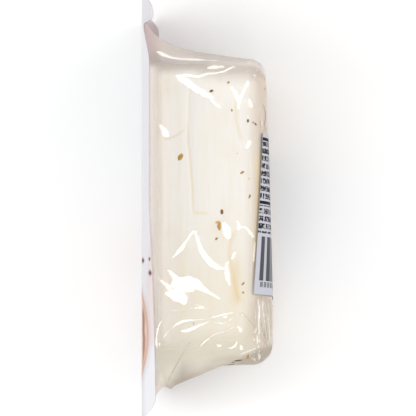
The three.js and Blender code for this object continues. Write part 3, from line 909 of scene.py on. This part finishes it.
brine = dict(
    stations=(70, 60, 8, 300),
    backRows=12,
    edgeRows=36,
    wallRows=64,
    under=0.2,
    start=1.4,  # mm of brine that stay clear, and how many fewer towards the bottom
    startLess=0.9,
    most=0.8,
    clears=1.8,
    endsClear=0.6,
    footEdge=([18, 30], [4, 1.5]),  # depth, and how softly the foot starts there
    # share of painted shade along the pouch's lower rim
    rimShadeShare=0.65,
    least=dict(rear=0.6, head=0.6, foot=0.75, lip=0.8, foldShadeLines=0.75, paintedGlints=0.9),  # cloud of a full share
    zones=dict(  # steps in depth and along the pack, from where a share starts to where it is full
        rear=dict(depth=[(32.5, 35.5)], along=[(-24, -30)]),
        head=dict(depth=[(14, 22)], along=[(36.5, 43)]),
        mouth=dict(depth=[(12, 7)], along=[(43, 37), (-43, -37)]),
        # painted light: a pale veil along the mouth that covers the shade beside the flange
        lip=dict(depth=[(7, 2.5)], along=[(46, 41), (-53, -47)]),
        startLess=dict(along=[(-31, -44)]),
        lowTone=dict(along=[(-34, -40)]),
        headTone=dict(depth=[(10, 20)], along=[(38, 44)]),
        rosyTop=dict(depth=[(7, 1)], along=[(40, 50)]),
        rosyLow=dict(depth=[(9, 3)], along=[(-50, -54)], most=0.75),
    ),
    whey="#d7cbc1",
    low="#e2dccb",
    head="#cabfb4",
    lip="#f6efe6",
    rear="#ddd3c6",
    sedimentAndShade="#9e917f",
    rosy="#d0bbb8",
    brown="#8f7b62",
    pale="#f6f2ec",
    footLine=[(5.4, -54), (6.9, -51.6), (9, -49.5), (12.3, -45.8), (14, -46.2), (19, -46.7), (26.4, -45.6),
              (29.4, -44.4), (34.2, -42.3), (38, -41)],  # the block's lower end: depth, along
    foldShadeLines=[  # painted shade: dark lines where the loose film folds: depth, along, width
        [(36.0, -26.4, 0.2), (36.6, -29.4, 0.3), (37.2, -33, 0.25), (37.6, -36.6, 0.3), (38.0, -39.6, 0.2)],
        [(37.2, -26.7, 0.2), (37.7, -30, 0.25), (38.1, -34.2, 0.2), (38.4, -38.1, 0.2)],
        [(36.8, -36.6, 0.3), (37.1, -38.7, 0.5), (37.4, -39.9, 0.2)],
        [(35.7, -33, 0.2), (36.3, -36.6, 0.25), (36.9, -39, 0.2)],
        [(38.6, -27.6, 0.2), (39.0, -32, 0.3), (39.1, -36.6, 0.2)],
        [(30.0, -31.5, 0.2), (32.4, -33.9, 0.25), (34.8, -36.9, 0.3), (36.3, -39.3, 0.25),
         (37.8, -41.4, 0.2)],
        [(36.9, -40.8, 0.2), (37.8, -39.6, 0.3), (39, -38.1, 0.2)],
        [(34.8, -42, 0.2), (36, -43.2, 0.25), (37.2, -44.7, 0.2)],
        [(14.2, -40.5, 0.2), (11.4, -45, 0.3), (9, -49.5, 0.35), (7.5, -53.1, 0.3)],
        [(24.6, -47.4, 0.3), (27.6, -47.7, 0.6), (30.6, -47.4, 0.3)],
        [(36.9, 31, 0.2), (37.4, 28, 0.35), (37.2, 25, 0.3), (37.5, 23.4, 0.2)],
    ],
    paintedGlints=[  # painted highlights: pale lines and dots beside them
        [(35.0, -27.6, 0.3), (35.3, -31.2, 0.7), (35.1, -35.1, 0.6), (35.4, -39, 0.3)],
        [(36.3, -27.6, 0.2), (36.6, -31.2, 0.4), (37.2, -35.1, 0.2)],
        [(37.9, -32.1, 0.2), (38.4, -36, 0.35), (38.6, -39.6, 0.2)],
        [(34.1, -35.4, 0.2), (34.5, -38.1, 0.4), (34.8, -40.8, 0.4), (35.4, -43.2, 0.2)],
        [(33.7, -37.0, 0.5), (33.9, -37.3, 0.5)],
        [(35.0, -37.5, 0.4), (35.2, -37.7, 0.4)],
        [(35.1, -39.4, 0.5), (35.3, -40.2, 0.4)],
        [(29.4, -43.9, 0.2), (31.5, -43.1, 0.4), (34.2, -42, 0.3)],
        [(32.2, -44.4, 0.2), (33.6, -45.4, 0.3), (34.2, -46, 0.2)],
        [(33.7, 39.9, 0.5), (34.1, 39.5, 0.6)],
        [(34.5, 39.1, 0.2), (35.4, 38.3, 0.3), (36.2, 37.4, 0.2)],
        [(31.8, 43.2, 0.2), (32.7, 43.9, 0.3)],
        [(34.3, 41.6, 0.2), (34.7, 41.2, 0.3)],
        [(35.6, 27.2, 0.2), (36.2, 25.5, 0.4), (36, 24, 0.2)],
        [(34.8, -43.6, 0.3), (35.4, -44.6, 0.5), (35.1, -45.6, 0.3)],
    ],
)


def drawnLines(rows, paths):
    # the share of the upper side that fine lines cover
    place = rows[..., :2].reshape(-1, 2)
    covered = np.max([strokeShare(place, path, 0.08, 0) for path in paths], 0)
    return covered.reshape(rows.shape[:2]) * smooth(8, 20, rows[..., 2])


stations, rows = filmRows(brine)
normal = normalsOf(rows)
d, y, z = np.moveaxis(rows, -1, 0)
upper = smooth(8, 20, z)
zones = {name: within(zone, d, y) for name, zone in brine["zones"].items()}
pastFoot = (y - np.interp(d, *np.transpose(brine["footLine"]))) / np.interp(d, *brine["footEdge"])
pastRim = y + wallReach(pocket["walls"], d[..., None], pocket["mouthDepth"])[..., 3]
foot = smooth(0.5, -1.5, pastFoot) * smooth(3, 9, d)
# brown sediment in the pocket below the block, and the same tone as painted shade along the lower rim
foot = np.maximum(foot, brine["rimShadeShare"] * smooth(5, 0.5, pastRim) * smooth(6, 10, d))
shares = dict(
    rear=zones["rear"] * upper,
    head=zones["head"] * upper,
    foot=foot,
    lip=zones["lip"],
    foldShadeLines=drawnLines(rows, brine["foldShadeLines"]),
    paintedGlints=drawnLines(rows, brine["paintedGlints"]),
)
deep = np.maximum(0, outsideCheese(rows) - brine["start"] + brine["startLess"] * zones["startLess"])
cloud = brine["most"] * (1 - np.exp(-deep / brine["clears"])) * (1 - zones["mouth"])
for name, least in brine["least"].items():
    cloud = np.maximum(cloud, least * shares[name])
cloud = cloud * (1 - brine["endsClear"] * smooth(0.4, 0.9, abs(normal[..., 1])) * smooth(29, 23, z))
tone = laidTones(brine, "whey", dict(
    low=zones["lowTone"],
    head=zones["headTone"],
    # the lip's pale tone is painted light
    lip=zones["lip"],
    rear=shares["rear"],
    # sediment below the block, painted shade along the rim
    sedimentAndShade=foot,
    # the brown of the fold lines is painted shade
    brown=0.8 * shares["foldShadeLines"],
    # the pale tone is painted highlight
    pale=shares["paintedGlints"],
    rosy=zones["rosyTop"] + zones["rosyLow"],
))
brineRows = rows - normal * brine["under"]
shut = panelRows(stations, [0.97, 0.5, 0], pocket["mouthDepth"] + 0.1)
brineGrid = np.concatenate([brineRows, shut])
cloud = np.concatenate([cloud, np.zeros(shut.shape[:2])])
tone = np.concatenate([tone, np.broadcast_to(linear(brine["whey"]), shut.shape)])
makePiece("brine", closedPoints(brineGrid), closedFaces(*brineGrid.shape[:2]), brineMaterial,
          cloud=closedValues(cloud), tone=closedPoints(tone))

# Mint in the cheese

# olive to brown specks
mintMaterial, tree = newMaterial("mint, dried and crumbled")
tone = addNode(tree, "Attribute", attribute_name="tone")
shader = addNode(tree, "BsdfPrincipled", {"Base Color": tone.outputs["Color"], "Roughness": 0.7})
addNode(tree, "OutputMaterial", {"Surface": shader.outputs[0]})

mint = dict(
    flecks=[  # depth, along, length, width, turn in degrees, colour
        (11.4, 15.3, 2.4, 1.25, 75, "#ab8526"),
        (21.0, 35.1, 1.0, 0.9, 20, "#6a421c"),
        (26.1, 37.5, 0.75, 0.65, 0, "#9a6c22"),
        (27.0, 29.3, 0.85, 0.45, 120, "#a87e3c"),
        (31.8, 26.1, 0.95, 0.75, 60, "#6d5a34"),
        (33.1, 25.5, 0.6, 0.4, 80, "#8d7148"),
        (34.4, 25.2, 1.1, 0.5, 150, "#8a6a40"),
        (28.5, 16.5, 0.35, 0.3, 0, "#c4a05c"),
        (30.0, 10.8, 1.1, 0.75, 25, "#a87e22"),
        (31.8, 8.9, 0.7, 0.4, 0, "#e0c48c"),
        (32.0, 3.4, 1.1, 0.7, 70, "#a87c26"),
        (23.9, -1.3, 1.3, 1.1, 110, "#80501c"),
        (23.3, -5.2, 2.5, 1.3, 105, "#b58a48"),
        (22.6, -4.2, 1.3, 0.8, 30, "#c7a468"),
        (17.4, 34.5, 1.1, 0.9, 80, "#cdb9b2"),
        (22.5, -9.2, 1.2, 0.5, 40, "#a4762c"),
        (30.1, -22.6, 1.0, 0.5, 50, "#94682c"),
        (30.5, -25.4, 0.7, 0.5, 90, "#b08440"),
        (21.3, -43.8, 1.2, 0.9, 0, "#8f8880"),
        (15.6, -34.5, 0.5, 0.4, 0, "#b09060"),
    ],
    sunk=[  # in the brine below the block, against the film
        (31.8, -44.4, 1.2, 0.8, 60, "#b0812c"),
        (28.8, -45.8, 2.4, 0.5, 12, "#5a4a38"),
        (27.2, -46.3, 1.2, 0.4, 0, "#6d5a42"),
        (26.4, -47.2, 1.8, 0.5, 0, "#7a6448"),
    ],
    faces=[  # where the others are scattered: the two axes of a face, its way out, from, to
        ((0, 1), (0, 0, -1), (4, -42), (34, 42)),
        ((2, 1), (1, 0, 0), (-26, -40), (26, 40)),
        ((0, 2), (0, 1, 0), (8, -26), (34, 26)),
        ((0, 2), (0, -1, 0), (8, -26), (30, 26)),
    ],
    scatter=46,
    smallShare=0.85,
    small=(0.4, 1.1),
    large=(1.2, 2.0),
    thick=0.24,
    proud=0.05,
    colours=["#b08a2e", "#a06a2a", "#8d7a54", "#bd8f4e", "#c9a066", "#8a5a2e"],
)


def surfaceHit(surface, axes, way, place):
    # the grid point nearest to a place on the face that looks this way, with its normal
    spots, normals = (grid.reshape(-1, 3) for grid in surface)
    gap = ((spots[:, axes] - place) ** 2).sum(1)
    hit = np.where(normals @ way > 0.3, gap, np.inf).argmin()
    return spots[hit], normals[hit]


def fleck(at, normal, along, long, wide):
    # a flattened ball, rougher than round by two waves
    turns = np.linspace(0, 2 * math.pi, 14, endpoint=False)
    turn, tilt = np.meshgrid(turns, np.linspace(0, math.pi, 8))
    wobble = 1 + 0.22 * np.sin(2 * turn + seed.uniform(0, 6)) * np.sin(tilt)
    wobble = wobble + 0.12 * np.sin(5 * turn + seed.uniform(0, 6))
    along = along - normal * (along @ normal)
    along = along / np.linalg.norm(along)
    side = np.cross(normal, along)
    ball = (np.cos(turn) * np.sin(tilt) * wobble * long / 2)[..., None] * along
    ball = ball + (np.sin(turn) * np.sin(tilt) * wobble * wide / 2)[..., None] * side
    return at + ball + (np.cos(tilt) * mint["thick"] / 2)[..., None] * normal


surfaces = dict(block=(cheeseRows, normalsOf(cheeseRows)), brine=(brineRows, normalsOf(brineRows)))
upSide = ((0, 1), (0, 0, 1))
order = [("block", *upSide, *item) for item in mint["flecks"]]
order += [("brine", *upSide, *item) for item in mint["sunk"]]
for _ in range(mint["scatter"]):
    axes, way, low, high = mint["faces"][seed.integers(len(mint["faces"]))]
    spot = low + np.subtract(high, low) * seed.random(2)
    isSmall = seed.random() < mint["smallShare"]
    long = seed.uniform(*mint["small" if isSmall else "large"])
    wide = long * seed.uniform(0.4, 0.9)
    turn = seed.uniform(0, 180)
    colour = mint["colours"][seed.integers(len(mint["colours"]))]
    order.append(("block", axes, way, *spot, long, wide, turn, colour))
points, faces, tones = [], [], []
for where, axes, way, first, second, long, wide, turn, colour in order:
    at, up = surfaceHit(surfaces[where], axes, way, (first, second))
    along = np.zeros(3)
    along[list(axes)] = math.cos(math.radians(turn)), math.sin(math.radians(turn))
    ball = fleck(at + up * mint["proud"], up, along, long, wide)
    made = closedPoints(ball)
    count = len(points) * len(made)
    faces += [[count + i for i in face] for face in closedFaces(*ball.shape[:2])]
    points.append(made)
    tones.append(np.broadcast_to(linear(colour), made.shape))
makePiece("mint_flecks", np.concatenate(points), faces, mintMaterial, tone=np.concatenate(tones))

# Paper label on the back

label = dict(
    wide=56,
    tall=48.6,
    thick=0.12,
    off=0.12,
    along=-4.3,
    across=2.9,
    turn=math.radians(5.6),
    steps=(160, 150),
    margin=0.15,
    stroke=0.35,
    text=dict(top=2.2, end=30.2, pitch=2.268, fill=0.68, spaces=0.08, dark=0.76),
    rules=[(1.7, 0.95), (20.8, 0.95)],  # from the top edge: place and height
    ruleClear=0.9,
    bars=dict(top=31.2, tall=13.2, near=1.4, wide=20, dark=0.58),
    footMarks=(44.8, 46.2),
    # grey paper: white paper with painted shade
    paper="#b9b9c1",
    black="#131316",
    table=dict(top=31.6, tall=14.4, near=24.5, wide=29, step=2.4),
)

# dead white paper, painted grey as shade, with flat black ink
labelMaterial, tree = newMaterial("label paper, coated and printed")
tone = addNode(tree, "Attribute", attribute_name="ink")
inks = {0: tone.outputs["Fac"], 6: rgba(label["paper"]), 7: rgba(label["black"])}
paint = addNode(tree, "Mix", inks, data_type="RGBA")
matt = {"Base Color": paint.outputs[2], "Roughness": 0.6, "Specular IOR Level": 0.15}
shader = addNode(tree, "BsdfPrincipled", matt)
addNode(tree, "OutputMaterial", {"Surface": shader.outputs[0]})


def onBack(run, y):
    # across the back from its middle, over its flat and on round the long edge
    edges = perSide(pocket["walls"], "edge")
    reach = wallReach(pocket["walls"], pocket["backDepth"] - edges, pocket["mouthDepth"])
    side = np.where(run > 0, 2, 0)
    edge, flat = edges[side], (reach - edges)[side]
    past = np.maximum(0, np.abs(run) - flat) / edge
    z = np.sign(run) * (np.minimum(np.abs(run), flat) + edge * np.sin(past))
    point = settled(pocket["backDepth"] - edge * (1 - np.cos(past)), np.stack([y, z], -1))
    return point, np.stack([np.cos(past), np.zeros_like(past), np.sign(run) * np.sin(past)], -1)


def labelInk(u, v):
    # shares of ink, u from the near edge and v from the top one: rules, rows of small marks for words,
    # upright bars and a ruled table
    text, bars, table = label["text"], label["bars"], label["table"]
    column = (u / label["stroke"]).astype(int)
    inset = (u > label["margin"]) & (u < label["wide"] - label["margin"])
    row = (v / text["pitch"]).astype(int)
    words = (seed.random((row.max() + 1, column.max() + 1)) > text["spaces"])[row, column]
    marks = np.where(seed.random(u.shape) < text["dark"], 0.97, 0.2)
    inText = (v % text["pitch"] < text["pitch"] * text["fill"]) & (v > text["top"]) & (v < text["end"])
    ink = np.where(inText & inset & words, marks, 0)
    for place, tall in label["rules"]:
        ink = np.where(abs(v - place) < label["ruleClear"], 0, ink)
        ink = np.where((abs(v - place) < tall / 2) & inset, 1, ink)
    inBars = (u > bars["near"]) & (u < bars["near"] + bars["wide"])
    upright = np.where(seed.random(column.max() + 1) < bars["dark"], 0.86, 0.1)[column]
    ink = np.where(inBars & (v > bars["top"]) & (v < bars["top"] + bars["tall"]), upright, ink)
    footTop, footEnd = label["footMarks"]
    ink = np.where(inBars & (v > footTop) & (v < footEnd) & (column % 4 > 0), 0.6, ink)
    across, down = u - table["near"], v - table["top"]
    inTable = (across > 0) & (across < table["wide"]) & (down > 0) & (down < table["tall"])
    line = down % table["step"]
    lengths = seed.uniform(0.3, 0.6, 20)[(down / table["step"]).astype(int) % 20]
    name = (across > 1) & (across < table["wide"] * lengths)
    value = (across > table["wide"] * 0.78) & (across < table["wide"] - 1)
    ink = np.where(inTable & (line > 0.6) & (line < 1.7) & (name | value), 0.75 * (marks > 0.5), ink)
    return np.where(inTable & ((line < 0.3) | (down > table["tall"] - 0.35)), 0.7, ink)


across, down = label["steps"]
u = np.linspace(label["wide"], 0, across + 1)
v = np.linspace(0, label["tall"], down + 1)
gridV, gridU = np.meshgrid(v, u, indexing="ij")
right, rise = label["wide"] / 2 - gridU, label["tall"] / 2 - gridV
run = label["across"] + right * math.cos(label["turn"]) - rise * math.sin(label["turn"])
high = label["along"] + right * math.sin(label["turn"]) + rise * math.cos(label["turn"])
base, way = onBack(run, high)
outer, under = base + way * (label["off"] + label["thick"]), base + way * label["off"]
points, faces = closedSheet(outer, under)
midU, midV = (gridU[:-1, :-1] + gridU[1:, 1:]) / 2, (gridV[:-1, :-1] + gridV[1:, 1:]) / 2
faceInk = labelInk(midU, midV).ravel()
ink = np.concatenate([np.repeat(faceInk, 4), np.zeros(4 * (len(faces) - len(faceInk)))])
makePiece("back_label_print", points, faces.tolist(), labelMaterial, ["back_label"], "label_paper", ink=ink)

# Floor, light and camera

# takes a soft shadow and mirrors nothing
floorMaterial, tree = newMaterial("studio floor, matt white paint")
dull = {"Base Color": rgba("#f9f9f9"), "Roughness": 0.9, "Specular IOR Level": 0.1}
shader = addNode(tree, "BsdfPrincipled", dull)
addNode(tree, "OutputMaterial", {"Surface": shader.outputs[0]})
mesh = bpy.data.meshes.new("floor")
mesh.from_pydata([(-3, -3, 0), (3, -3, 0), (3, 3, 0), (-3, 3, 0)], [], [(0, 1, 2, 3)])
mesh.materials.append(floorMaterial)
floor = bpy.data.objects.new("floor", mesh)
bpy.context.scene.collection.objects.link(floor)

world = bpy.data.worlds.new("studio")
bpy.context.scene.world = world
world.use_nodes = True

studio = dict(
    centre=(19.8, 0, 30),
    softboxes=[  # place from the centre, size in mm, watts
        dict(at=(300, 180, 640), size=(1500, 100), power=2.3),
        dict(at=(420, 0, 640), size=(80, 1100), power=1.3),
        dict(at=(-300, -60, 900), size=(900, 900), power=1.35),
        dict(at=(-700, 0, 250), size=(500, 500), power=1.6),
        dict(at=(0, -700, 300), size=(700, 400), power=1.6),
    ],
    worldLight=0.59,
    cameraAway=650,
    sensor=36,
    imageWide=416,  # pixels, and the size of one in mm at the centre
    pixel=0.30,
)
background = world.node_tree.nodes["Background"]
background.inputs["Color"].default_value = (1, 1, 1, 1)
background.inputs["Strength"].default_value = studio["worldLight"]


def standAt(data, at, axes):
    # a lamp or a camera at a place from the centre, looking against the last of its axes
    holder = bpy.data.objects.new(data.name, data)
    bpy.context.scene.collection.objects.link(holder)
    turned = Matrix((packAxes @ axes).tolist()).to_4x4()
    holder.matrix_world = Matrix.Translation(inFrame(np.add(studio["centre"], at))) @ turned
    return holder


for number, box in enumerate(studio["softboxes"]):
    lamp = bpy.data.lights.new(f"softbox{number}", "AREA")
    lamp.shape = "RECTANGLE"
    lamp.size, lamp.size_y = box["size"][0] / 1000, box["size"][1] / 1000
    lamp.energy = box["power"]
    back = np.array(box["at"], float) / np.linalg.norm(box["at"])
    side = np.cross([0, 1, 0], back)
    side = side / np.linalg.norm(side)
    standAt(lamp, box["at"], np.stack([side, np.cross(back, side), back], 1))

camera = bpy.data.cameras.new("camera")
camera.sensor_width = studio["sensor"]
camera.lens = studio["sensor"] * studio["cameraAway"] / (studio["imageWide"] * studio["pixel"])
bpy.context.scene.camera = standAt(camera, (0, 0, studio["cameraAway"]), np.eye(3))
bpy.context.scene.view_settings.view_transform = "Standard"
bpy.context.scene.view_settings.look = "None"
print("stage set")
